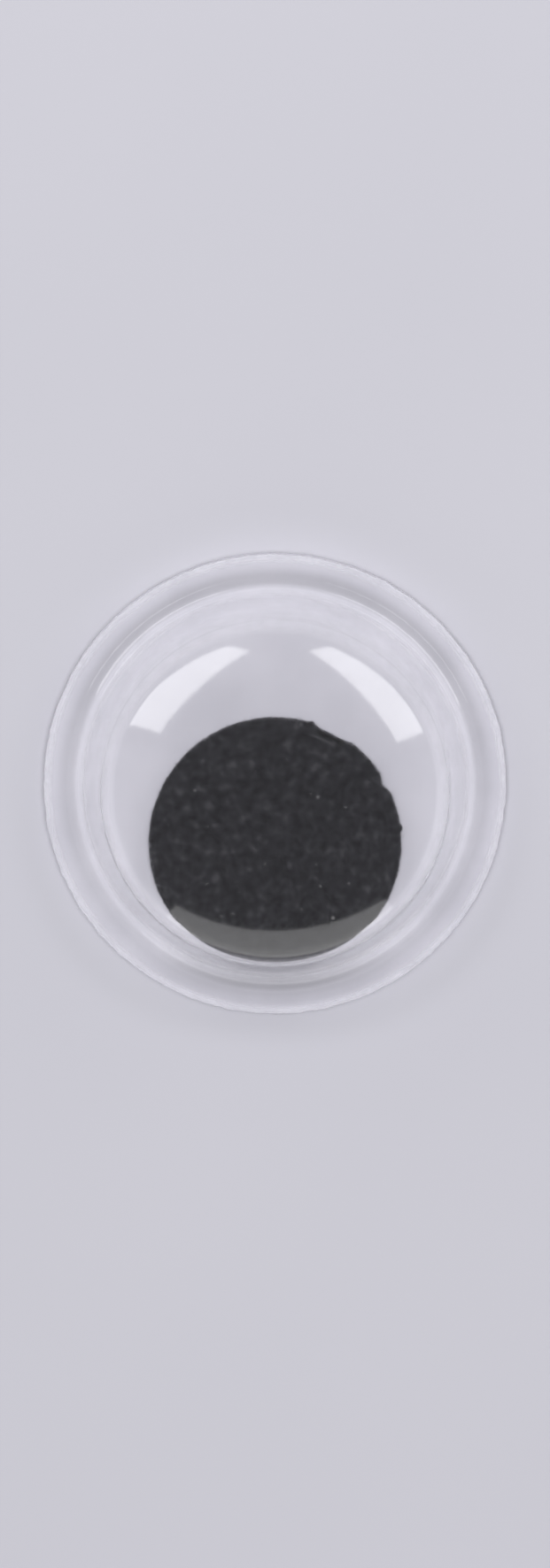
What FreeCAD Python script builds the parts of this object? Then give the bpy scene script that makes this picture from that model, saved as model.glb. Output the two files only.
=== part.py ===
"""Self-adhesive googly eye: a clear formed dome closed by a white disc, with a loose black pupil inside.

Millimetres, +Z out of the dome. The origin is the centre of the sticky underside. +Y is up on the face
that wears the eye, so the pupil has dropped towards -Y.
"""
import FreeCAD
import Part
import os

# Overall
eye_diameter = 10.0

# Sticky pad under the eye, set in from the edge of the white disc
pad_inset = 0.1
pad_thickness = 0.2

# White disc that closes the chamber
backing_thickness = 0.3

# Clear dome, drawn from one sheet of film. Its runs and rises are taken along the middle of the film.
film_thickness = 0.15
flange_width = 0.75
skirt_run = 0.58
skirt_rise = 2.03
crown_rise = 1.27
foot_bend = 0.5
shoulder_bend = 0.55
punched_edge_rounding = 0.05

# Pupil, and the play that it keeps inside the chamber
pupil_diameter = 5.45
pupil_thickness = 0.3
pupil_edge_rounding = 0.06
pupil_lift_clearance = 0.02
pupil_rim_clearance = 0.12

# Heights of the stack, from the sticky underside upwards
chamber_floor = pad_thickness + backing_thickness
film_middle = chamber_floor + film_thickness / 2
flange_top = chamber_floor + film_thickness
pupil_underside = chamber_floor + pupil_lift_clearance
pupil_top = pupil_underside + pupil_thickness

# Radii
eye_radius = eye_diameter / 2
pad_radius = eye_radius - pad_inset
pupil_radius = pupil_diameter / 2

# How closely two lengths agree when they are the same
tolerance = 0.0001


def section_point(radius, height):
    """A point of the half section, which lies in the XZ plane."""
    return FreeCAD.Vector(radius, 0, height)


def direction(vector):
    """The unit vector that points the same way."""
    return vector / vector.Length


def arc_about(centre, start, end):
    """The short arc between two points that lie equally far from a centre."""
    radius = (start - centre).Length
    middle = centre + direction(start + end - centre * 2) * radius
    return Part.Arc(start, middle, end)


class FilmLine:
    """The middle line of the drawn film: crown, shoulder bend, skirt, foot bend and flange, all tangent."""

    def __init__(self):
        outwards = section_point(1, 0)
        foot = section_point(eye_radius - flange_width, film_middle)
        shoulder = foot + section_point(-skirt_run, skirt_rise)
        up_skirt = direction(shoulder - foot)
        self.into_chamber = section_point(-up_skirt.z, up_skirt.x)

        # The crown's sphere goes through the sharp shoulder and the top of the dome.
        crown_top = shoulder.z + crown_rise
        self.crown_radius = (shoulder.x ** 2 + crown_rise ** 2) / (2 * crown_rise)
        self.crown_centre = section_point(0, crown_top - self.crown_radius)

        # The shoulder bend touches the crown's sphere and the skirt from inside.
        from_crown = foot + self.into_chamber * shoulder_bend - self.crown_centre
        along = from_crown.dot(up_skirt)
        reach = (self.crown_radius - shoulder_bend) ** 2 - from_crown.dot(from_crown) + along ** 2
        self.shoulder_centre = self.crown_centre + from_crown + up_skirt * (reach ** 0.5 - along)
        self.to_crown = direction(self.shoulder_centre - self.crown_centre)

        # The foot bend touches the skirt and the flange from above.
        tangent_of_half_corner = (1 - up_skirt.dot(outwards)) / up_skirt.z
        bend_start = foot + outwards * (foot_bend / tangent_of_half_corner)
        self.foot_centre = bend_start + section_point(0, foot_bend)

    def surface(self, offset):
        """The line moved to one face of the film: outwards and upwards where offset is positive."""
        down = section_point(0, -1)
        top = self.crown_centre - down * (self.crown_radius + offset)
        crown_end = self.crown_centre + self.to_crown * (self.crown_radius + offset)
        skirt_top = self.shoulder_centre - self.into_chamber * (shoulder_bend + offset)
        skirt_foot = self.foot_centre + self.into_chamber * (foot_bend - offset)
        flange_start = self.foot_centre + down * (foot_bend - offset)
        flange_end = section_point(eye_radius, flange_start.z)
        curves = [
            arc_about(self.crown_centre, top, crown_end),
            arc_about(self.shoulder_centre, crown_end, skirt_top),
            Part.LineSegment(skirt_top, skirt_foot),
            arc_about(self.foot_centre, skirt_foot, flange_start),
            Part.LineSegment(flange_start, flange_end),
        ]
        return curves, top, flange_end


def disc(radius, thickness, height):
    """A flat disc on the axis of the eye."""
    return Part.makeCylinder(radius, thickness, FreeCAD.Vector(0, 0, height))


def rim_at(solid, radius, height):
    """The circular edges of a turned solid that have one radius and lie at one height."""
    rims = []
    for edge in solid.Edges:
        if edge.Degenerated or not isinstance(edge.Curve, Part.Circle):
            continue
        same_radius = abs(edge.Curve.Radius - radius) < tolerance
        if same_radius and abs(edge.Curve.Center.z - height) < tolerance:
            rims.append(edge)
    return rims


def clear_dome():
    """Dome and flange in one piece of film, as thick all over, with the punched rim rounded over."""
    film = FilmLine()
    outside, outer_top, upper_edge = film.surface(film_thickness / 2)
    inside, inner_top, lower_edge = film.surface(-film_thickness / 2)
    rim = Part.LineSegment(upper_edge, lower_edge)
    axis = Part.LineSegment(inner_top, outer_top)
    outline = outside + [rim] + inside[::-1] + [axis]
    section = Part.Face(Part.Wire(Part.__sortEdges__([curve.toShape() for curve in outline])))
    dome = section.revolve(FreeCAD.Vector(0, 0, 0), FreeCAD.Vector(0, 0, 1), 360)
    return dome.makeFillet(punched_edge_rounding, rim_at(dome, eye_radius, flange_top))


def backing_disc():
    """White disc under the flange, as wide as the flange because both are punched out together."""
    return disc(eye_radius, backing_thickness, pad_thickness)


def adhesive_pad():
    """Double-sided pad on the back, a little smaller than the disc."""
    return disc(pad_radius, pad_thickness, 0)


def chamber_radius_at(dome, height):
    """Radius of the chamber at one height, read off the wall of the dome."""
    ray = Part.makeLine(section_point(0, height), section_point(eye_diameter, height))
    return dome.common(ray).BoundBox.XMin


def pupil(dome):
    """Black disc, lying flat on the chamber floor where it has slid down against the wall."""
    drop = chamber_radius_at(dome, pupil_top) - pupil_rim_clearance - pupil_radius
    piece = disc(pupil_radius, pupil_thickness, pupil_underside)
    piece = piece.makeFillet(pupil_edge_rounding, rim_at(piece, pupil_radius, pupil_top))
    piece.translate(FreeCAD.Vector(0, -drop, 0))
    return piece


def export(name, solid):
    """Write one piece to its own file and print its size."""
    solid.exportStep(os.path.join("parts", name + ".step"))
    box = solid.optimalBoundingBox()
    print(f"{name}: {box.XLength:.3f} x {box.YLength:.3f} x {box.ZLength:.3f} mm, {solid.Volume:.4f} mm3")


os.makedirs("parts", exist_ok=True)
dome_piece = clear_dome()
export("clear_dome", dome_piece)
export("backing_disc", backing_disc())
export("adhesive_pad", adhesive_pad())
export("pupil", pupil(dome_piece))
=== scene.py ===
"""Studio dress of a self-adhesive googly eye: fine meshes, finishes, lamps and camera.

Metres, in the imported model's frame. The origin is the centre of the sticky underside, +Z points out of the
dome, and +Y is up on the face that wears the eye, so the loose pupil has dropped towards -Y.
"""

import logging
import math
from dataclasses import dataclass, field
from enum import Enum
from typing import Any

import bpy
from mathutils import Matrix, Vector


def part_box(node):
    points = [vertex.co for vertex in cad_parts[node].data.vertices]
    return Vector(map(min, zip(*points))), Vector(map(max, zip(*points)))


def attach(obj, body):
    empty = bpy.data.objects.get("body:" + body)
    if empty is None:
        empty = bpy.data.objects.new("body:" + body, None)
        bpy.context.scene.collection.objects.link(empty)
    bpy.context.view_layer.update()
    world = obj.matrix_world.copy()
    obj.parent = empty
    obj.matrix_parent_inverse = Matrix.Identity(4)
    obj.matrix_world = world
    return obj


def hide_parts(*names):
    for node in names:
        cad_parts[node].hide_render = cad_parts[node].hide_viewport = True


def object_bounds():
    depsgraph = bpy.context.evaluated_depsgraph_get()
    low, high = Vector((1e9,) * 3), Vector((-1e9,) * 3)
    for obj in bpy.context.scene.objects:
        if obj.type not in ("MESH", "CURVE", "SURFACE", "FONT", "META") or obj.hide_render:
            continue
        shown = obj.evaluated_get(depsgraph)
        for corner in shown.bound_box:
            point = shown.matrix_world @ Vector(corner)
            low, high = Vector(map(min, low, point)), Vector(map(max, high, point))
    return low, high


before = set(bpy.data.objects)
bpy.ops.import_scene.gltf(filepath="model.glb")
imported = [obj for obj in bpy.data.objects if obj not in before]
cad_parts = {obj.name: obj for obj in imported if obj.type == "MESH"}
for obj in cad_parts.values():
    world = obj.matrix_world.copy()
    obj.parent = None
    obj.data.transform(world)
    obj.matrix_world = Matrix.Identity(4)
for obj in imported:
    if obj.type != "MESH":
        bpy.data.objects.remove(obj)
cad_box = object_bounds()

MM = 0.001
MICRON = 0.000001
IMAGE_WIDTH = 621
IMAGE_HEIGHT = 1772
FILM_BOUNCES = 48

# Points closer than this are one point.
DOUBLED_POINT = 0.01 * MICRON

# Soft noise seldom leaves this range, so its full swing is taken between the two.
NOISE_LOW = 0.3
NOISE_HIGH = 0.7

log = logging.getLogger("googly_eye")

Colour = tuple[float, float, float, float]
RingStops = tuple[tuple[float, float], ...]


class Body(Enum):
    """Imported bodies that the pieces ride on."""

    HOUSING = "housing"
    PUPIL = "pupil"


class Slot(Enum):
    """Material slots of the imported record."""

    CLEAR_DOME = "clear_dome"
    WHITE_DISC = "white_disc"
    ADHESIVE = "adhesive"
    BLACK_PUPIL = "black_pupil"


class NodeBoard:
    """Adds nodes to one tree and wires them in the same step."""

    def __init__(self, tree: bpy.types.NodeTree) -> None:
        """Keep the tree that the nodes go into."""
        self.tree = tree

    def add(self, kind: str, inputs: dict[str | int, Any] | None = None, **settings: Any) -> bpy.types.Node:
        """Add one node.

        Args:
            kind: Blender's name for the type of node.
            inputs: A value or a socket for each input, by its name or number.
            settings: Properties of the node itself, such as its operation.

        Returns:
            The new node.
        """
        node = self.tree.nodes.new(kind)
        for name, value in settings.items():
            setattr(node, name, value)
        for key, value in (inputs or {}).items():
            self.feed(node.inputs[key], value)
        return node

    def feed(self, socket: bpy.types.NodeSocket, value: Any) -> None:
        """Wire a socket into an input, or set the input's own value."""
        if isinstance(value, bpy.types.NodeSocket):
            self.tree.links.new(value, socket)
        else:
            socket.default_value = value

    def math(self, operation: str, a: Any, b: Any = 0.0) -> bpy.types.NodeSocket:
        """Result of one scalar operation on two values or sockets."""
        return self.add("ShaderNodeMath", {0: a, 1: b}, operation=operation).outputs[0]

    def vector(self, operation: str, a: Any, b: Any = (0.0, 0.0, 0.0)) -> bpy.types.NodeSocket:
        """Result of one vector operation on two values or sockets."""
        return self.add("ShaderNodeVectorMath", {0: a, 1: b}, operation=operation).outputs[0]

    def scaled(self, vector: Any, factor: Any) -> bpy.types.NodeSocket:
        """A vector times a number."""
        return self.add("ShaderNodeVectorMath", {0: vector, "Scale": factor}, operation="SCALE").outputs[0]

    def eased(
        self, value: Any, low: Any, high: Any, at_low: Any = 0.0, at_high: Any = 1.0
    ) -> bpy.types.NodeSocket:
        """A value carried smoothly from one range to another, and held at the ends.

        Args:
            value: The value or socket to carry over.
            low: Where the first range starts.
            high: Where the first range ends.
            at_low: Result at and before the start.
            at_high: Result at and after the end.

        Returns:
            The socket with the result.
        """
        ends = {"Value": value, "From Min": low, "From Max": high, "To Min": at_low, "To Max": at_high}
        return self.add("ShaderNodeMapRange", ends, interpolation_type="SMOOTHSTEP").outputs[0]

    def noise(self, place: Any, scale: Any, seed: Any = 0.0, detail: float = 2.0) -> bpy.types.NodeSocket:
        """Seeded noise from 0 to 1 over a place.

        Args:
            place: Coordinates that the noise is read at.
            scale: Bumps for each unit of length.
            seed: Which of the patterns to take.
            detail: Octaves of finer noise on top.

        Returns:
            The socket with the noise.
        """
        inputs = {"Vector": place, "W": seed, "Scale": scale, "Detail": detail}
        return self.add("ShaderNodeTexNoise", inputs, noise_dimensions="4D").outputs[0]


class ShaderBoard(NodeBoard):
    """A new node material and the parts that the finishes share."""

    def __init__(self, name: str) -> None:
        """Start an empty node material."""
        self.material = bpy.data.materials.new(name)
        self.material.use_nodes = True
        super().__init__(self.material.node_tree)
        self.tree.nodes.clear()
        self.place = self.add("ShaderNodeTexCoord").outputs["Object"]

    def ramp(self, value: Any, stops: list[tuple[float, Colour]]) -> bpy.types.NodeSocket:
        """Colour picked from a ramp.

        Args:
            value: Where on the ramp, from 0 to 1.
            stops: Place and colour of each stop, in order.

        Returns:
            The socket with the colour.
        """
        node = self.add("ShaderNodeValToRGB", {0: value})
        node.color_ramp.interpolation = "EASE"
        elements = node.color_ramp.elements
        while len(elements) < len(stops):
            elements.new(1.0)
        for element, (place, colour) in zip(elements, stops):
            element.position = place
            element.color = colour
        return node.outputs[0]

    def reach(self) -> bpy.types.NodeSocket:
        """Distance from the eye's axis."""
        flat = self.vector("MULTIPLY", self.place, (1.0, 1.0, 0.0))
        return self.add("ShaderNodeVectorMath", {0: flat}, operation="LENGTH").outputs["Value"]

    def ring(self, reach: Any, stops: RingStops) -> bpy.types.NodeSocket:
        """A number that changes with the distance from the axis.

        Args:
            reach: Distance from the axis, in metres.
            stops: Distance in millimetres and the number there, in order.

        Returns:
            The socket with the number.
        """
        first, last = stops[0][0] * MM, stops[-1][0] * MM
        span = {"Value": reach, "From Min": first, "From Max": last}
        share = self.add("ShaderNodeMapRange", span).outputs[0]
        grey = [((at * MM - first) / (last - first), (value, value, value, 1.0)) for at, value in stops]
        return self.ramp(share, grey)

    def bump(self, height: Any, distance: float, under: Any = None) -> bpy.types.NodeSocket:
        """Normal bent by a height.

        Args:
            height: Height from 0 to 1.
            distance: How far the height reaches, in metres.
            under: A coarser bump that this one lies on.

        Returns:
            The socket with the normal.
        """
        inputs = {"Height": height, "Distance": distance, "Strength": 1.0}
        if under is not None:
            inputs["Normal"] = under
        return self.add("ShaderNodeBump", inputs).outputs[0]

    def darkened(self, depth: Any, share: Any) -> bpy.types.NodeSocket:
        """What is left of the colour where painted shade of one depth covers a share of the surface."""
        return self.math("SUBTRACT", 1.0, self.math("MULTIPLY", depth, share))

    def opaque(self, colour: Any, roughness: Any, normal: Any = None) -> bpy.types.Material:
        """Close the board with a plain opaque finish and hand the material over."""
        inputs = {"Base Color": colour, "Roughness": roughness}
        if normal is not None:
            inputs["Normal"] = normal
        return self.finish(self.add("ShaderNodeBsdfPrincipled", inputs).outputs[0])

    def finish(self, shader: bpy.types.NodeSocket) -> bpy.types.Material:
        """Wire the last shader to the output and hand the material over."""
        self.add("ShaderNodeOutputMaterial", {"Surface": shader})
        return self.material


@dataclass(frozen=True)
class ClearFilm:
    """Clear rigid film: glossy, faintly uneven from drawing, open to the rays of lamps, milky where cut."""

    tint: Colour = (0.985, 0.984, 0.992, 1.0)
    lamp_tint: Colour = (0.955, 0.953, 0.965, 1.0)
    milky: Colour = (0.86, 0.855, 0.90, 1.0)
    refraction: float = 1.53
    smooth: float = 0.06
    scuffed: float = 0.14
    draw_scale: float = 900.0
    draw_depth: float = 1.1 * MICRON
    scuff_scale: float = 9000.0
    scuff_depth: float = 0.25 * MICRON
    scuffs_start: float = 0.5
    scuffs_full: float = 0.75
    haze_scale: float = 1600.0
    haze: RingStops = (
        (3.5, 0.0),
        (3.68, 0.22),
        (3.85, 0.10),
        (4.2, 0.08),
        (4.5, 0.0),
        (4.8, 0.0),
        (4.93, 0.55),
    )
    thinnest_haze: float = 0.5
    chalk_share: float = 0.5

    def material(self) -> bpy.types.Material:
        """Build the node material."""
        board = ShaderBoard("clear_film")
        draw_marks = board.noise(board.place, self.draw_scale, seed=3.0)
        scuffs = board.noise(board.place, self.scuff_scale, seed=8.0, detail=4.0)
        waves = board.bump(draw_marks, self.draw_depth)
        normal = board.bump(scuffs, self.scuff_depth, waves)
        clear = board.add(
            "ShaderNodeBsdfPrincipled",
            {
                "Base Color": self.tint,
                "IOR": self.refraction,
                "Transmission Weight": 1.0,
                "Roughness": board.eased(
                    scuffs, self.scuffs_start, self.scuffs_full, self.smooth, self.scuffed
                ),
                "Normal": normal,
            },
        ).outputs[0]
        milk = board.add("ShaderNodeBsdfTranslucent", {"Color": self.milky}).outputs[0]
        chalk = board.add("ShaderNodeBsdfDiffuse", {"Color": self.milky}).outputs[0]
        milky = board.add("ShaderNodeMixShader", {0: self.chalk_share, 1: milk, 2: chalk}).outputs[0]
        clouds = board.noise(board.place, self.haze_scale, seed=12.0)
        patches = board.eased(clouds, NOISE_LOW, NOISE_HIGH, self.thinnest_haze, 1.0)
        haze = board.math("MULTIPLY", board.ring(board.reach(), self.haze), patches)
        body = board.add("ShaderNodeMixShader", {0: haze, 1: clear, 2: milky}).outputs[0]
        path = board.add("ShaderNodeLightPath").outputs
        lamp_ray = board.math("MAXIMUM", path["Is Shadow Ray"], path["Is Diffuse Ray"])
        open_film = board.add("ShaderNodeBsdfTransparent", {"Color": self.lamp_tint}).outputs[0]
        return board.finish(board.add("ShaderNodeMixShader", {0: lamp_ray, 1: body, 2: open_film}).outputs[0])


@dataclass(frozen=True)
class SatinDisc:
    """White satin sheet, with painted shade and light: darker rings inside the dome, a lighter band under its
    wall, a dark ring at its foot, and a shadow below the pupil.
    """

    shade: Colour = (0.70, 0.692, 0.755, 1.0)
    light: Colour = (0.76, 0.75, 0.815, 1.0)
    cloud_scale: float = 700.0
    grain_scale: float = 16000.0
    grain_depth: float = 2.0 * MICRON
    smooth: float = 0.42
    rough: float = 0.58
    # Painted shade and light in rings round the axis: darker inside the dome, lighter under its wall, darker
    # again at its foot.
    shade_and_light_rings: RingStops = (
        (2.1, 0.90),
        (2.9, 0.93),
        (3.4, 0.955),
        (3.75, 1.06),
        (4.2, 1.06),
        (4.55, 0.96),
        (4.9, 1.0),
    )
    # Painted shade: a dark ring at the foot of the dome, patchy, and stronger towards +Y.
    painted_foot_shade: RingStops = ((4.22, 0.0), (4.42, 1.0), (4.52, 0.85), (4.78, 0.0))
    painted_foot_shade_faint: float = 0.06
    painted_foot_shade_strong: float = 0.26
    painted_foot_shade_patch_scale: float = 260.0
    painted_foot_shade_patch_reach: float = 9.0 * MM
    painted_foot_shade_faint_at: float = -4.5 * MM
    painted_foot_shade_strong_at: float = 5.0 * MM
    # Painted shadow: a darker crescent round the foot of the wall below the pupil, growing towards -Y.
    painted_pupil_shadow: RingStops = ((3.98, 0.0), (4.08, 1.0), (4.4, 0.95), (4.56, 0.42), (4.72, 0.3), (4.92, 0.0))
    painted_pupil_shadow_depth: float = 0.42
    painted_pupil_shadow_starts: float = 3.5 * MM
    painted_pupil_shadow_full: float = 4.5 * MM

    def material(self) -> bpy.types.Material:
        """Build the node material."""
        board = ShaderBoard("satin_white_sheet")
        clouds = board.noise(board.place, self.cloud_scale, seed=1.0, detail=3.0)
        grain = board.noise(board.place, self.grain_scale, seed=5.0, detail=3.0)
        sheet = board.ramp(clouds, [(NOISE_LOW, self.shade), (NOISE_HIGH, self.light)])
        colour = board.scaled(sheet, self.tone(board))
        roughness = board.eased(grain, NOISE_LOW, NOISE_HIGH, self.smooth, self.rough)
        return board.opaque(colour, roughness, board.bump(grain, self.grain_depth))

    def tone(self, board: ShaderBoard) -> bpy.types.NodeSocket:
        """How light the sheet is at each place: painted shade and light in rings, a painted dark ring at the
        dome's foot, and a painted shadow below the pupil.

        Args:
            board: Board of the material.

        Returns:
            The socket with the factor on the sheet's colour.
        """
        reach = board.reach()
        up = board.add("ShaderNodeSeparateXYZ", {0: board.place}).outputs["Y"]
        # Painted shade at the dome's foot: patchy, stronger towards +Y.
        clouds = board.noise(board.place, self.painted_foot_shade_patch_scale, seed=15.0, detail=3.0)
        patches = board.math("MULTIPLY", board.math("SUBTRACT", clouds, 0.5), self.painted_foot_shade_patch_reach)
        uneven = board.math("ADD", up, patches)
        painted_foot_shade_depth = board.eased(
            uneven, self.painted_foot_shade_faint_at, self.painted_foot_shade_strong_at, self.painted_foot_shade_faint, self.painted_foot_shade_strong
        )
        # Painted shadow below the pupil, growing towards -Y.
        down = board.math("MULTIPLY", up, -1.0)
        painted_pupil_shadow_depth = board.eased(down, self.painted_pupil_shadow_starts, self.painted_pupil_shadow_full, 0.0, self.painted_pupil_shadow_depth)
        painted_foot_shade = board.darkened(painted_foot_shade_depth, board.ring(reach, self.painted_foot_shade))
        painted_pupil_shadow = board.darkened(painted_pupil_shadow_depth, board.ring(reach, self.painted_pupil_shadow))
        return board.math("MULTIPLY", board.ring(reach, self.shade_and_light_rings), board.math("MULTIPLY", painted_foot_shade, painted_pupil_shadow))


@dataclass(frozen=True)
class MilkyAdhesive:
    """Milky double-sided pad: slightly yellow, with drawn-out streaks where it was cut."""

    shade: Colour = (0.70, 0.69, 0.64, 1.0)
    light: Colour = (0.80, 0.79, 0.76, 1.0)
    streak_scale: float = 2500.0
    streak_depth: float = 12.0 * MICRON
    smooth: float = 0.3
    rough: float = 0.55

    def material(self) -> bpy.types.Material:
        """Build the node material."""
        board = ShaderBoard("milky_adhesive")
        streaks = board.noise(board.place, self.streak_scale, seed=2.0, detail=4.0)
        colour = board.ramp(streaks, [(NOISE_LOW, self.shade), (NOISE_HIGH, self.light)])
        roughness = board.eased(streaks, NOISE_LOW, NOISE_HIGH, self.smooth, self.rough)
        return board.opaque(colour, roughness, board.bump(streaks, self.streak_depth))


@dataclass(frozen=True)
class RimMark:
    """A curved streak near the rim of the black sheet, paler or darker than the sheet.

    The bearing is counted from +X towards +Y, and the streak fades out over the spread on both sides of it.
    The reach is the distance of its middle line from the sheet's centre.
    """

    bearing: float
    spread: float
    reach: float
    width: float
    tone: Colour


@dataclass(frozen=True)
class CharcoalSheet:
    """Matt black sheet: fine paler blotches over a coarse grain, and streaks where its rim is nicked."""

    centre: tuple[float, float, float]
    marks: tuple[RimMark, ...] = ()
    black: Colour = (0.0075, 0.0072, 0.0098, 1.0)
    grey: Colour = (0.0165, 0.0160, 0.0200, 1.0)
    pale: Colour = (0.050, 0.049, 0.055, 1.0)
    blotch_scale: float = 5200.0
    grain_scale: float = 15000.0
    grain_depth: float = 5.0 * MICRON
    black_at: float = 0.36
    grey_at: float = 0.54
    pale_at: float = 0.74
    smooth: float = 0.6
    rough: float = 0.85

    def material(self) -> bpy.types.Material:
        """Build the node material."""
        board = ShaderBoard("charcoal_sheet")
        blotches = board.noise(board.place, self.blotch_scale, seed=4.0, detail=2.5)
        grain = board.noise(board.place, self.grain_scale, seed=6.0, detail=3.0)
        tones = [(self.black_at, self.black), (self.grey_at, self.grey), (self.pale_at, self.pale)]
        colour = board.ramp(blotches, tones)
        for mark in self.marks:
            share = self.mark_share(board, mark)
            mixed = {0: share, 6: colour, 7: mark.tone}
            colour = board.add("ShaderNodeMix", mixed, data_type="RGBA").outputs[2]
        roughness = board.eased(grain, NOISE_LOW, NOISE_HIGH, self.smooth, self.rough)
        return board.opaque(colour, roughness, board.bump(grain, self.grain_depth))

    def mark_share(self, board: ShaderBoard, mark: RimMark) -> bpy.types.NodeSocket:
        """How strongly one streak covers the sheet.

        Args:
            board: Board of the material.
            mark: The streak.

        Returns:
            The socket with the share from 0 to 1.
        """
        flat = board.vector("MULTIPLY", board.vector("SUBTRACT", board.place, self.centre), (1.0, 1.0, 0.0))
        reach = board.add("ShaderNodeVectorMath", {0: flat}, operation="LENGTH").outputs["Value"]
        way = (math.cos(mark.bearing), math.sin(mark.bearing), 0.0)
        ray = board.vector("NORMALIZE", flat)
        close = board.add("ShaderNodeVectorMath", {0: ray, 1: way}, operation="DOT_PRODUCT").outputs["Value"]
        in_spread = board.eased(close, math.cos(mark.spread), math.cos(mark.spread / 2))
        aside = board.math("ABSOLUTE", board.math("SUBTRACT", reach, mark.reach))
        in_width = board.eased(aside, mark.width / 2, mark.width, 1.0, 0.0)
        return board.math("MULTIPLY", in_spread, in_width)


@dataclass(frozen=True)
class PaleDust:
    """Paper dust that clings to the black sheet."""

    shade: Colour = (0.06, 0.06, 0.063, 1.0)
    light: Colour = (0.17, 0.17, 0.172, 1.0)
    scale: float = 6000.0
    depth: float = 2.0 * MICRON
    roughness: float = 0.9

    def material(self) -> bpy.types.Material:
        """Build the node material."""
        board = ShaderBoard("pale_dust")
        tones = board.noise(board.place, self.scale, seed=9.0)
        colour = board.ramp(tones, [(NOISE_LOW, self.shade), (NOISE_HIGH, self.light)])
        return board.opaque(colour, self.roughness, board.bump(tones, self.depth))


@dataclass(frozen=True)
class PaleFloor:
    """Plain pale studio floor."""

    shade: Colour = (0.60, 0.594, 0.655, 1.0)
    light: Colour = (0.625, 0.617, 0.68, 1.0)
    cloud_scale: float = 60.0
    shade_at: float = 0.2
    light_at: float = 0.8
    roughness: float = 0.7

    def material(self) -> bpy.types.Material:
        """Build the node material."""
        board = ShaderBoard("pale_floor")
        clouds = board.noise(board.place, self.cloud_scale, seed=7.0)
        colour = board.ramp(clouds, [(self.shade_at, self.shade), (self.light_at, self.light)])
        return board.opaque(colour, self.roughness)


def arc(centre: Vector, start: Vector, end: Vector, steps: int) -> list[Vector]:
    """Points along the short arc between two points of a half section.

    Args:
        centre: Centre of the arc.
        start: First point.
        end: Last point.
        steps: Number of straight runs that the arc is cut into.

    Returns:
        The points, both ends included.
    """
    first = start - centre
    last = end - centre
    from_angle = math.atan2(first.y, first.x)
    turn = math.remainder(math.atan2(last.y, last.x) - from_angle, math.tau)
    angles = [from_angle + turn * step / steps for step in range(steps + 1)]
    return [centre + first.length * Vector((math.cos(a), math.sin(a))) for a in angles]


def run(start: Vector, end: Vector, steps: int) -> list[Vector]:
    """Evenly spaced points along a straight line of a half section, both ends included."""
    return [start.lerp(end, step / steps) for step in range(steps + 1)]


def joined(parts: list[list[Vector]]) -> list[Vector]:
    """One chain of points from several that follow on, with doubled ends left out."""
    chain = [parts[0][0]]
    for part in parts:
        chain += [point for point in part if (point - chain[-1]).length > DOUBLED_POINT]
    return chain


def eased_step(value: float, low: float, high: float) -> float:
    """A step from 0 to 1 between two values, level at both ends."""
    share = min(max((value - low) / (high - low), 0.0), 1.0)
    return share * share * (3.0 - 2.0 * share)


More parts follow.
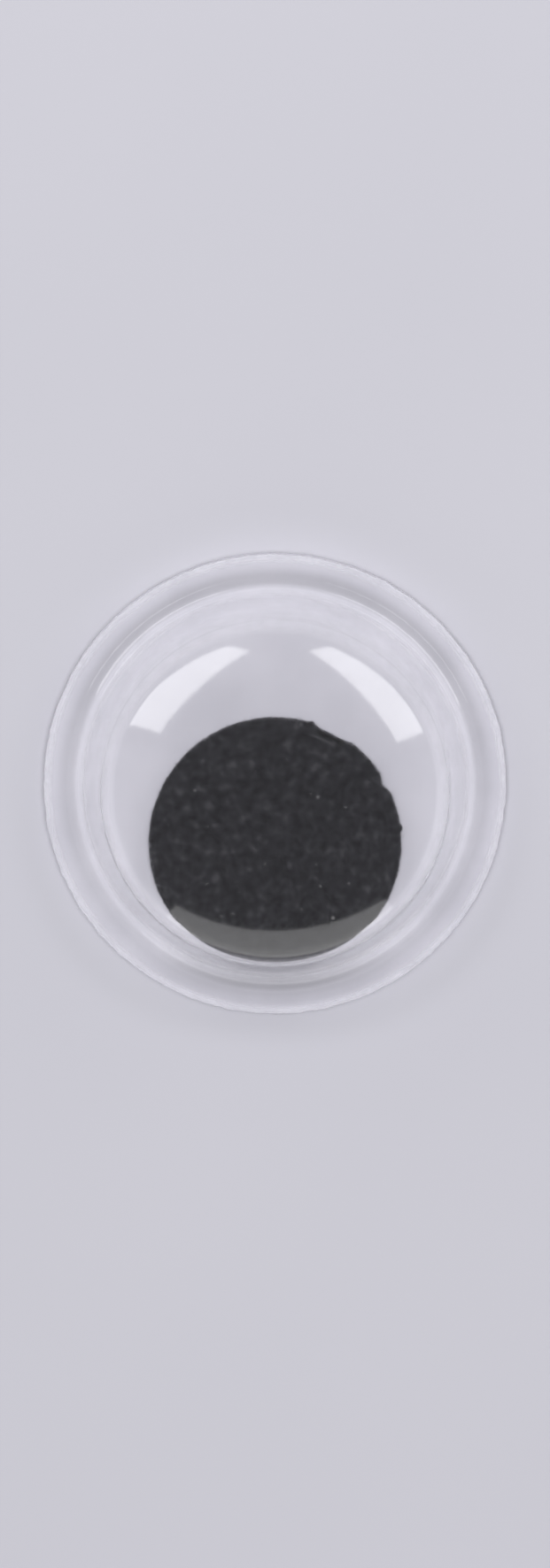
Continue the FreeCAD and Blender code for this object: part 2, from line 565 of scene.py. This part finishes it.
@dataclass
class FilmSection:
    """Half section of the drawn film: crown, shoulder bend, skirt, foot bend and flange, tangent all along.

    Drawing has thinned the sheet to a share of its thickness, up to the end of the foot bend.
    """

    eye_radius: float
    seat: float
    thickness: float = 0.15 * MM
    flange_width: float = 0.75 * MM
    skirt_run: float = 0.58 * MM
    skirt_rise: float = 2.03 * MM
    crown_rise: float = 1.27 * MM
    foot_bend: float = 0.5 * MM
    shoulder_bend: float = 0.8 * MM
    edge_rounding: float = 0.05 * MM
    corner_support: float = 0.008 * MM
    drawn_share: float = 0.36
    drawn_end: float = 4.25 * MM
    full_start: float = 4.65 * MM
    crown_steps: int = 34
    bend_steps: int = 14
    skirt_steps: int = 12
    flange_steps: int = 10
    edge_steps: int = 6
    into_chamber: Vector = field(init=False)
    to_crown: Vector = field(init=False)
    crown_radius: float = field(init=False)
    crown_centre: Vector = field(init=False)
    shoulder_centre: Vector = field(init=False)
    foot_centre: Vector = field(init=False)

    def __post_init__(self) -> None:
        """Work out the centres of the arcs along the middle of the film."""
        outwards = Vector((1.0, 0.0))
        foot = Vector((self.eye_radius - self.flange_width, self.seat + self.thickness / 2))
        shoulder = foot + Vector((-self.skirt_run, self.skirt_rise))
        up_skirt = (shoulder - foot).normalized()
        self.into_chamber = Vector((-up_skirt.y, up_skirt.x))
        self.crown_radius = (shoulder.x**2 + self.crown_rise**2) / (2 * self.crown_rise)
        self.crown_centre = Vector((0.0, shoulder.y + self.crown_rise - self.crown_radius))
        from_crown = foot + self.into_chamber * self.shoulder_bend - self.crown_centre
        along = from_crown.dot(up_skirt)
        reach = (self.crown_radius - self.shoulder_bend) ** 2 - from_crown.dot(from_crown) + along**2
        self.shoulder_centre = self.crown_centre + from_crown + up_skirt * (math.sqrt(reach) - along)
        self.to_crown = (self.shoulder_centre - self.crown_centre).normalized()
        tangent_of_half_corner = (1 - up_skirt.dot(outwards)) / up_skirt.y
        bend_start = foot + outwards * (self.foot_bend / tangent_of_half_corner)
        self.foot_centre = bend_start + Vector((0.0, self.foot_bend))

    def thickness_share(self, radius: float) -> float:
        """Share of the sheet's thickness that is left after drawing, by distance from the axis."""
        back_to_full = eased_step(radius, self.drawn_end, self.full_start)
        return self.drawn_share + (1.0 - self.drawn_share) * back_to_full

    def face(self, offset: float, rim: float) -> list[Vector]:
        """One face of the film, from the top of the crown out to the flange.

        Args:
            offset: Distance from the middle of the full sheet, positive on the outside.
            rim: Radius at which the flange's straight run ends.

        Returns:
            The points of the face.
        """
        pairs = zip(self.parallel(0.0, rim), self.parallel(offset, rim))
        return [middle.lerp(edge, self.thickness_share(middle.x)) for middle, edge in pairs]

    def parallel(self, offset: float, rim: float) -> list[Vector]:
        """Line that runs at one distance from the middle of the film, with the same arguments as its face."""
        up = Vector((0.0, 1.0))
        top = self.crown_centre + up * (self.crown_radius + offset)
        crown_end = self.crown_centre + self.to_crown * (self.crown_radius + offset)
        skirt_top = self.shoulder_centre - self.into_chamber * (self.shoulder_bend + offset)
        skirt_foot = self.foot_centre + self.into_chamber * (self.foot_bend - offset)
        flange_start = self.foot_centre - up * (self.foot_bend - offset)
        return joined(
            [
                arc(self.crown_centre, top, crown_end, self.crown_steps),
                arc(self.shoulder_centre, crown_end, skirt_top, self.bend_steps),
                run(skirt_top, skirt_foot, self.skirt_steps),
                arc(self.foot_centre, skirt_foot, flange_start, self.bend_steps),
                run(flange_start, Vector((rim, flange_start.y)), self.flange_steps),
            ]
        )

    def outline(self) -> list[Vector]:
        """The whole half section, from the outside of the crown round the punched rim to its inside."""
        half = self.thickness / 2
        rounding = self.edge_rounding
        top = self.seat + self.thickness
        steps = self.edge_steps
        bend = Vector((self.eye_radius - rounding, top - rounding))
        corner = Vector((self.eye_radius, self.seat))
        inner_rim = self.eye_radius - self.corner_support
        return joined(
            [
                self.face(half, self.eye_radius - rounding),
                arc(bend, bend + Vector((0.0, rounding)), bend + Vector((rounding, 0.0)), steps),
                run(bend + Vector((rounding, 0.0)), corner + Vector((0.0, self.corner_support)), steps),
                [corner],
                self.face(-half, inner_rim)[::-1],
            ]
        )


@dataclass(frozen=True)
class PlateSection:
    """Half section of a flat punched plate: a rounded upper edge, and a lower edge that stays sharp."""

    radius: float
    underside: float
    top: float
    rounding: float
    rings: int = 12
    rounding_steps: int = 5
    side_steps: int = 6
    support_share: float = 0.25

    def outline(self) -> list[Vector]:
        """The half section, from the middle of the top round the edge to the middle of the underside."""
        support = self.rounding * self.support_share
        bend = Vector((self.radius - self.rounding, self.top - self.rounding))
        bend_start = bend + Vector((0.0, self.rounding))
        bend_end = bend + Vector((self.rounding, 0.0))
        corner = Vector((self.radius, self.underside))
        return joined(
            [
                run(Vector((0.0, self.top)), bend_start, self.rings),
                arc(bend, bend_start, bend_end, self.rounding_steps),
                run(bend_end, corner + Vector((0.0, support)), self.side_steps),
                [corner],
                run(corner - Vector((support, 0.0)), Vector((0.0, self.underside)), self.rings),
            ]
        )


@dataclass(frozen=True)
class Nick:
    """A bite out of a punched edge, or a burr where its depth is negative.

    The bearing is counted from +X towards +Y, and the edge is cut away over the spread on both sides of it.
    The bluntness is 1 for a V, 2 for a rounded bite, and more for a bite with a flat floor and steep ends.
    """

    bearing: float
    spread: float
    depth: float
    bluntness: float = 2.0


@dataclass(frozen=True)
class PunchedEdge:
    """How far the rim of a turned piece strays from a true circle, and how uneven its faces are.

    The steps are counted round the piece, and the rim strays only within the band. The grain sets how many
    bumps the roughness has, and the warp is a slow wave of the whole sheet.
    """

    steps: int = 288
    band: float = 0.15 * MM
    roughness: float = 0.0
    grain: float = 14.0
    warp: float = 0.0
    warp_scale: float = 450.0
    seed: int = 1
    nicks: tuple[Nick, ...] = ()


class RecipeTree:
    """A Geometry Nodes tree with named inputs, which turns a base mesh into a finished one."""

    def __init__(self, name: str, base: str) -> None:
        """Start an empty tree.

        Args:
            name: Name of the tree.
            base: Name of the input for the base mesh.
        """
        self.tree = bpy.data.node_groups.new(name, "GeometryNodeTree")
        self.board = NodeBoard(self.tree)
        self.values: dict[str, Any] = {}
        self.tree.interface.new_socket(base, in_out="INPUT", socket_type="NodeSocketGeometry")
        self.tree.interface.new_socket("Result", in_out="OUTPUT", socket_type="NodeSocketGeometry")

    def declare(self, name: str, kind: str, value: Any) -> None:
        """Add a named input and remember the value that it gets."""
        socket = self.tree.interface.new_socket(name, in_out="INPUT", socket_type=kind)
        self.values[socket.identifier] = value

    def end(self, geometry: bpy.types.NodeSocket, material: bpy.types.NodeSocket) -> None:
        """Close the tree: make instances real, set the material and hand the result over."""
        real = self.board.add("GeometryNodeRealizeInstances", {0: geometry}).outputs[0]
        looks = {"Geometry": real, "Material": material}
        dressed = self.board.add("GeometryNodeSetMaterial", looks).outputs[0]
        self.board.add("NodeGroupOutput", {0: dressed})

    def run(self, name: str, base: bpy.types.Mesh) -> bpy.types.Mesh:
        """Work the tree on a base mesh and keep its result as a plain mesh.

        Args:
            name: Name of the new mesh.
            base: Mesh that the tree works on.

        Returns:
            The plain mesh.
        """
        carrier = bpy.data.objects.new(name + "_carrier", base)
        bpy.context.scene.collection.objects.link(carrier)
        modifier = carrier.modifiers.new("recipe", "NODES")
        modifier.node_group = self.tree
        for identifier, value in self.values.items():
            modifier[identifier] = value
        depsgraph = bpy.context.evaluated_depsgraph_get()
        mesh = bpy.data.meshes.new_from_object(carrier.evaluated_get(depsgraph), depsgraph=depsgraph)
        mesh.name = name
        carrier.modifiers.clear()
        bpy.data.objects.remove(carrier)
        return mesh


class TurnedPieceTree(RecipeTree):
    """Turns an outline about the axis and roughens its punched rim."""

    WELD = 0.05 * MICRON
    COARSE_BUMPS = 1.0
    FINE_BUMPS = 4.0

    def __init__(self, edge: PunchedEdge, reach: float, centre: Vector, material: bpy.types.Material) -> None:
        """Build the tree.

        Args:
            edge: Roughness, nicks and warp of the piece.
            reach: Radius of the piece.
            centre: Where the piece's axis stands.
            material: Finish of the whole piece.
        """
        super().__init__("turned_piece", "Outline")
        self.nick_names = [f"Nick {number}" for number in range(1, len(edge.nicks) + 1)]
        self.declare("Steps", "NodeSocketInt", edge.steps)
        self.declare("Edge Starts", "NodeSocketFloat", reach - edge.band)
        self.declare("Edge Ends", "NodeSocketFloat", reach)
        self.declare("Edge Roughness", "NodeSocketFloat", edge.roughness)
        self.declare("Edge Grain", "NodeSocketFloat", edge.grain)
        self.declare("Warp", "NodeSocketFloat", edge.warp)
        self.declare("Warp Scale", "NodeSocketFloat", edge.warp_scale)
        self.declare("Seed", "NodeSocketInt", edge.seed)
        self.declare("Centre", "NodeSocketVector", (centre.x, centre.y, 0.0))
        self.declare("Material", "NodeSocketMaterial", material)
        for name, nick in zip(self.nick_names, edge.nicks):
            self.declare(name + " Bearing", "NodeSocketFloat", nick.bearing)
            self.declare(name + " Spread", "NodeSocketFloat", nick.spread)
            self.declare(name + " Depth", "NodeSocketFloat", nick.depth)
            self.declare(name + " Bluntness", "NodeSocketFloat", nick.bluntness)
        self.given = self.board.add("NodeGroupInput").outputs
        self.wire()

    def wire(self) -> None:
        """Place a grid's points on the turned outline and weld its seam and poles."""
        board = self.board
        outline = self.given["Outline"]
        rows = board.add("GeometryNodeAttributeDomainSize", {0: outline}).outputs["Point Count"]
        columns = board.math("ADD", self.given["Steps"], 1.0)
        grid = board.add("GeometryNodeMeshGrid", {"Vertices X": columns, "Vertices Y": rows}).outputs[0]
        index = board.add("GeometryNodeInputIndex").outputs[0]
        row = board.math("MODULO", index, rows)
        step = board.math("FLOOR", board.math("DIVIDE", index, rows))
        here = board.add("GeometryNodeInputPosition").outputs[0]
        sampler = board.add("GeometryNodeSampleIndex", data_type="FLOAT_VECTOR")
        board.feed(sampler.inputs["Geometry"], outline)
        board.feed(sampler.inputs["Value"], here)
        board.feed(sampler.inputs["Index"], row)
        section = board.add("ShaderNodeSeparateXYZ", {0: sampler.outputs[0]}).outputs
        bearing = board.math("MULTIPLY", board.math("DIVIDE", step, self.given["Steps"]), math.tau)
        ray_inputs = {"X": board.math("COSINE", bearing), "Y": board.math("SINE", bearing)}
        ray = board.add("ShaderNodeCombineXYZ", ray_inputs).outputs[0]
        radius = board.math("ADD", section["X"], self.rim_stray(ray, bearing, section["X"]))
        flat = board.scaled(ray, radius)
        height = board.math("ADD", section["Z"], self.warp(flat))
        raised = board.add("ShaderNodeCombineXYZ", {"Z": height}).outputs[0]
        placed = board.vector("ADD", board.vector("ADD", flat, raised), self.given["Centre"])
        shaped = board.add("GeometryNodeSetPosition", {"Geometry": grid, "Position": placed}).outputs[0]
        doubled = {"Geometry": shaped, "Distance": self.WELD}
        welded = board.add("GeometryNodeMergeByDistance", doubled).outputs[0]
        self.end(welded, self.given["Material"])

    def rim_stray(self, ray: Any, bearing: Any, radius: Any) -> bpy.types.NodeSocket:
        """How far a point of the rim is moved out: punching roughness less the nicks, near the rim only."""
        board = self.board
        along_rim = board.scaled(ray, self.given["Edge Grain"])
        coarse = board.noise(along_rim, self.COARSE_BUMPS, self.given["Seed"])
        fine = board.noise(along_rim, self.FINE_BUMPS, self.given["Seed"])
        swing = board.math("ADD", board.math("SUBTRACT", coarse, 0.5), board.math("SUBTRACT", fine, 0.5))
        stray = board.math("MULTIPLY", swing, self.given["Edge Roughness"])
        for name in self.nick_names:
            stray = board.math("SUBTRACT", stray, self.nick_depth(bearing, name))
        share = board.eased(radius, self.given["Edge Starts"], self.given["Edge Ends"])
        return board.math("MULTIPLY", stray, share)

    def nick_depth(self, bearing: Any, name: str) -> bpy.types.NodeSocket:
        """Depth of one nick at a bearing: a bite that ends at its spread."""
        board = self.board
        aside = board.math("SUBTRACT", bearing, self.given[name + " Bearing"])
        share = board.math("DIVIDE", board.math("ABSOLUTE", aside), self.given[name + " Spread"])
        bite = board.math("SUBTRACT", 1.0, board.math("POWER", share, self.given[name + " Bluntness"]))
        return board.math("MULTIPLY", board.math("MAXIMUM", bite, 0.0), self.given[name + " Depth"])

    def warp(self, flat: Any) -> bpy.types.NodeSocket:
        """Slow rise and fall of the sheet over its plan, the same on both of its faces."""
        board = self.board
        slow = board.noise(flat, self.given["Warp Scale"], self.given["Seed"], detail=1.0)
        return board.math("MULTIPLY", board.math("SUBTRACT", slow, 0.5), self.given["Warp"])


class DustTree(RecipeTree):
    """Strews flattened grains over a face.

    Lengths are shares of the largest grain, and widths and flatness are shares of a grain's own length.
    """

    LENGTHS = (0.25, 1.0)
    WIDTHS = (0.35, 0.9)
    TURNS = (0.0, math.tau)
    FLATNESS = 0.3

    def __init__(self, grain_size: float, density: float, seed: int, material: bpy.types.Material) -> None:
        """Build the tree.

        Args:
            grain_size: Radius of the largest grain.
            density: Grains for each square metre.
            seed: Which of the random layouts to take.
            material: Finish of the grains.
        """
        super().__init__("strewn_dust", "Face")
        self.declare("Grain Size", "NodeSocketFloat", grain_size)
        self.declare("Density", "NodeSocketFloat", density)
        self.declare("Seed", "NodeSocketInt", seed)
        self.declare("Material", "NodeSocketMaterial", material)
        self.given = self.board.add("NodeGroupInput").outputs
        self.wire()

    def spread(self, limits: tuple[float, float], stream: int) -> bpy.types.NodeSocket:
        """A random number for each grain.

        Args:
            limits: Smallest and largest number.
            stream: Which stream of the seed the numbers come from.

        Returns:
            The socket with the number.
        """
        seed = self.board.math("ADD", self.given["Seed"], float(stream))
        node = self.board.add("FunctionNodeRandomValue", {"Seed": seed}, data_type="FLOAT")
        node.inputs[2].default_value, node.inputs[3].default_value = limits
        return node.outputs[1]

    def wire(self) -> None:
        """Scatter the points and put a grain on each."""
        board = self.board
        strewn = {"Mesh": self.given["Face"], "Density": self.given["Density"], "Seed": self.given["Seed"]}
        points = board.add("GeometryNodeDistributePointsOnFaces", strewn).outputs["Points"]
        grain = board.add("GeometryNodeMeshIcoSphere", {"Radius": 1.0, "Subdivisions": 1}).outputs[0]
        length = board.math("MULTIPLY", self.given["Grain Size"], self.spread(self.LENGTHS, 1))
        width = board.math("MULTIPLY", length, self.spread(self.WIDTHS, 2))
        height = board.math("MULTIPLY", length, self.FLATNESS)
        scale = board.add("ShaderNodeCombineXYZ", {"X": length, "Y": width, "Z": height}).outputs[0]
        turn = board.add("ShaderNodeCombineXYZ", {"Z": self.spread(self.TURNS, 3)}).outputs[0]
        placed = {"Points": points, "Instance": grain, "Rotation": turn, "Scale": scale}
        grains = board.add("GeometryNodeInstanceOnPoints", placed).outputs[0]
        self.end(grains, self.given["Material"])


def line_mesh(outline: list[Vector]) -> bpy.types.Mesh:
    """A bare chain of edges along a half section, from its end up, so that the turned faces point out."""
    mesh = bpy.data.meshes.new("outline")
    edges = [(number, number + 1) for number in range(len(outline) - 1)]
    mesh.from_pydata([(point.x, 0.0, point.y) for point in reversed(outline)], edges, [])
    return mesh


@dataclass
class TurnedPiece:
    """A piece turned about the eye's axis, with its punched rim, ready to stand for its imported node."""

    name: str
    node: str
    body: Body
    slot: Slot
    outline: list[Vector]
    edge: PunchedEdge
    centre: Vector = field(default_factory=lambda: Vector((0.0, 0.0, 0.0)))
    crease_angle: float = math.radians(40.0)

    def build(self, material: bpy.types.Material) -> None:
        """Make the mesh in its finish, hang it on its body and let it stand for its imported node."""
        reach = max(point.x for point in self.outline)
        recipe = TurnedPieceTree(self.edge, reach, self.centre, material)
        mesh = recipe.run(self.name, line_mesh(self.outline))
        mesh.shade_smooth()
        mesh.set_sharp_from_angle(angle=self.crease_angle)
        piece = mounted(self.name, mesh, self.body)
        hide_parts(self.node)


def mounted(name: str, mesh: bpy.types.Mesh, body: Body) -> bpy.types.Object:
    """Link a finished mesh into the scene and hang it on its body.

    Args:
        name: Name of the piece.
        mesh: Its finished mesh, already in place.
        body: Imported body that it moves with.

    Returns:
        The new object.
    """
    piece = bpy.data.objects.new(name, mesh)
    bpy.context.scene.collection.objects.link(piece)
    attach(piece, body.value)
    log.info("%s: %d faces, rides on %s", name, len(mesh.polygons), body.value)
    return piece


@dataclass
class Housing:
    """The closed case of the eye: clear dome, white disc and sticky pad."""

    film_gap: float = 3.0 * MICRON
    disc_rounding: float = 0.04 * MM
    pad_rounding: float = 0.03 * MM
    film_edge: PunchedEdge = PunchedEdge(roughness=0.07 * MM, warp=0.012 * MM, seed=11)
    disc_edge: PunchedEdge = PunchedEdge(roughness=0.06 * MM, seed=11)
    pad_edge: PunchedEdge = PunchedEdge(roughness=0.12 * MM, grain=9.0, seed=23)

    def build(self) -> None:
        """Build and dress the three pieces."""
        pad_low, pad_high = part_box("adhesive_pad")
        disc_low, disc_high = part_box("backing_disc")
        film = FilmSection(eye_radius=disc_high.x, seat=disc_high.z + self.film_gap).outline()
        plate = PlateSection(disc_high.x, disc_low.z, disc_high.z, self.disc_rounding).outline()
        pad = PlateSection(pad_high.x, pad_low.z, pad_high.z, self.pad_rounding).outline()
        home = Body.HOUSING
        dome = TurnedPiece("dome", "clear_dome", home, Slot.CLEAR_DOME, film, self.film_edge)
        dome.build(ClearFilm().material())
        disc = TurnedPiece("white_disc", "backing_disc", home, Slot.WHITE_DISC, plate, self.disc_edge)
        disc.build(SatinDisc().material())
        sticker = TurnedPiece("sticky_pad", "adhesive_pad", home, Slot.ADHESIVE, pad, self.pad_edge)
        sticker.build(MilkyAdhesive().material())


@dataclass
class LoosePupil:
    """The loose black disc, with its ragged punched rim and the dust on its face."""

    rounding: float = 0.06 * MM
    edge: PunchedEdge = PunchedEdge(
        steps=720,
        band=0.25 * MM,
        roughness=0.04 * MM,
        grain=12.0,
        seed=5,
        nicks=(
            Nick(bearing=math.radians(62.5), spread=math.radians(10.0), depth=0.07 * MM, bluntness=3.0),
            Nick(bearing=math.radians(73.0), spread=math.radians(1.8), depth=-0.035 * MM, bluntness=1.0),
            Nick(bearing=math.radians(28.5), spread=math.radians(5.0), depth=0.085 * MM, bluntness=1.0),
            Nick(bearing=math.radians(7.0), spread=math.radians(2.4), depth=-0.05 * MM, bluntness=1.0),
        ),
    )
    marks: tuple[RimMark, ...] = (
        RimMark(math.radians(63.0), math.radians(9.5), 2.60 * MM, 0.055 * MM, (0.003, 0.003, 0.004, 1.0)),
        RimMark(math.radians(66.0), math.radians(7.0), 2.49 * MM, 0.03 * MM, (0.055, 0.055, 0.06, 1.0)),
    )
    dust_size: float = 0.05 * MM
    dust_density: float = 1.2e6
    dust_seed: int = 4
    dusty_share: float = 0.92
    dust_ring_steps: int = 64

    def build(self) -> None:
        """Build and dress the disc and its dust."""
        low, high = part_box("pupil")
        centre = (low + high) / 2
        radius = (high.x - low.x) / 2
        plate = PlateSection(radius, low.z, high.z, self.rounding).outline()
        finish = CharcoalSheet((centre.x, centre.y, 0.0), self.marks)
        disc = TurnedPiece("pupil_disc", "pupil", Body.PUPIL, Slot.BLACK_PUPIL, plate, self.edge, centre)
        disc.build(finish.material())
        self.strew_dust(Vector((centre.x, centre.y, high.z)), radius * self.dusty_share)

    def strew_dust(self, centre: Vector, reach: float) -> None:
        """Strew grains of dust over the top of the disc.

        Args:
            centre: Middle of the top face.
            reach: Radius of the dusty part.
        """
        face = bpy.data.meshes.new("dusty_face")
        turns = [math.tau * step / self.dust_ring_steps for step in range(self.dust_ring_steps)]
        rim = [centre + reach * Vector((math.cos(turn), math.sin(turn), 0.0)) for turn in turns]
        face.from_pydata(rim, [], [list(range(len(rim)))])
        recipe = DustTree(self.dust_size, self.dust_density, self.dust_seed, PaleDust().material())
        mounted("pupil_dust", recipe.run("pupil_dust", face), Body.PUPIL)


@dataclass(frozen=True)
class SoftBox:
    """Rectangular studio lamp of even brightness, placed by its middle and the directions of its sides."""

    name: str
    centre: tuple[float, float, float]
    along: tuple[float, float, float]
    across: tuple[float, float, float]
    length: float
    width: float
    brightness: float
    in_reflections: bool = True

    def place(self) -> None:
        """Put the lamp in the scene, shining towards its own -Z."""
        lamp = bpy.data.lights.new(self.name, "AREA")
        lamp.shape = "RECTANGLE"
        lamp.size = self.length
        lamp.size_y = self.width
        lamp.energy = self.brightness * math.pi * self.length * self.width
        x = Vector(self.along).normalized()
        z = x.cross(Vector(self.across)).normalized()
        turn = Matrix((x, z.cross(x), z)).transposed().to_4x4()
        stand = bpy.data.objects.new(self.name, lamp)
        stand.matrix_world = Matrix.Translation(Vector(self.centre)) @ turn
        stand.visible_camera = False
        stand.visible_glossy = self.in_reflections
        stand.visible_transmission = self.in_reflections
        bpy.context.scene.collection.objects.link(stand)


@dataclass
class Studio:
    """Pale floor, soft lamps and a dim room."""

    floor_reach: float = 3.0
    floor_drop: float = 4.0 * MICRON
    room_dark: float = 0.16
    room_pale: float = 0.62
    pale_height: float = 0.30
    lamps: tuple[SoftBox, ...] = (
        SoftBox(
            name="strip_right",
            centre=(0.1318, 0.1869, 0.1260),
            along=(0.134, -0.929, -0.346),
            across=(0.878, 0.273, -0.393),
            length=0.300,
            width=0.068,
            brightness=3.0,
        ),
        SoftBox(
            name="strip_left",
            centre=(-0.1085, 0.1846, 0.1216),
            along=(-0.113, -0.909, -0.400),
            across=(0.915, -0.252, 0.315),
            length=0.300,
            width=0.072,
            brightness=3.0,
        ),
        SoftBox(
            name="low_card",
            centre=(0.03, -0.50, 0.118),
            along=(1.0, 0.0, 0.0),
            across=(0.0, 0.0, 1.0),
            length=0.84,
            width=0.236,
            brightness=1.1,
        ),
        SoftBox(
            name="overhead",
            centre=(0.0, 0.05, 0.62),
            along=(1.0, 0.0, 0.0),
            across=(0.0, 0.997, -0.080),
            length=0.26,
            width=0.22,
            brightness=14.8,
            in_reflections=False,
        ),
    )

    def build(self) -> None:
        """Lay the floor, stand the lamps and light the room."""
        mesh = bpy.data.meshes.new("floor")
        reach = self.floor_reach
        corners = [(-reach, -reach), (reach, -reach), (reach, reach), (-reach, reach)]
        mesh.from_pydata([(x, y, -self.floor_drop) for x, y in corners], [], [(0, 1, 2, 3)])
        mesh.materials.append(PaleFloor().material())
        floor = bpy.data.objects.new("floor", mesh)
        bpy.context.scene.collection.objects.link(floor)
        for lamp in self.lamps:
            lamp.place()
        self.light_room()

    def light_room(self) -> None:
        """Fill the world: pale walls near the horizon, and dark above them."""
        world = bpy.data.worlds.new("room")
        bpy.context.scene.world = world
        world.use_nodes = True
        board = NodeBoard(world.node_tree)
        board.tree.nodes.clear()
        way = board.add("ShaderNodeTexCoord").outputs["Generated"]
        up = board.add("ShaderNodeSeparateXYZ", {0: way}).outputs["Z"]
        level = board.eased(up, self.pale_height / 2, self.pale_height, self.room_pale, self.room_dark)
        background = board.add("ShaderNodeBackground", {"Strength": level}).outputs[0]
        board.add("ShaderNodeOutputWorld", {"Surface": background})


@dataclass(frozen=True)
class OverheadCamera:
    """Long-lens camera that looks down on the eye, a few degrees off the straight view."""

    lens: float = 300.0
    sensor: float = 36.0
    tilt: float = math.radians(6.0)
    share_of_width: float = 0.84
    clip_factor: float = 100.0

    def place(self, eye_diameter: float, height: float) -> None:
        """Stand the camera over the eye.

        Args:
            eye_diameter: Width that fills its share of the picture.
            height: Level of the eye that the camera is centred on.
        """
        narrow_sensor = self.sensor * IMAGE_WIDTH / IMAGE_HEIGHT
        distance = self.lens / narrow_sensor * eye_diameter / self.share_of_width
        optics = bpy.data.cameras.new("overhead_camera")
        optics.lens = self.lens
        optics.sensor_width = self.sensor
        optics.clip_start = distance / self.clip_factor
        optics.clip_end = distance * self.clip_factor
        camera = bpy.data.objects.new("overhead_camera", optics)
        camera.location = (0.0, distance * math.sin(self.tilt), height + distance * math.cos(self.tilt))
        camera.rotation_euler = (-self.tilt, 0.0, 0.0)
        bpy.context.scene.collection.objects.link(camera)
        bpy.context.scene.camera = camera


def let_light_run_in_film(paths: Any) -> None:
    """Give the light enough bounces to run along inside the film's bends and come out again."""
    paths.max_bounces = FILM_BOUNCES
    paths.glossy_bounces = FILM_BOUNCES
    paths.transmission_bounces = FILM_BOUNCES


def main() -> None:
    """Build the eye, then the studio round it."""
    logging.basicConfig(level=logging.INFO, format="%(name)s: %(message)s")
    bpy.context.scene.view_settings.view_transform = "Standard"
    let_light_run_in_film(bpy.context.scene.cycles)
    Housing().build()
    LoosePupil().build()
    Studio().build()
    low, high = cad_box
    rim_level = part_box("backing_disc")[1].z
    OverheadCamera().place(high.x - low.x, rim_level)


if __name__ == "__main__":
    main()
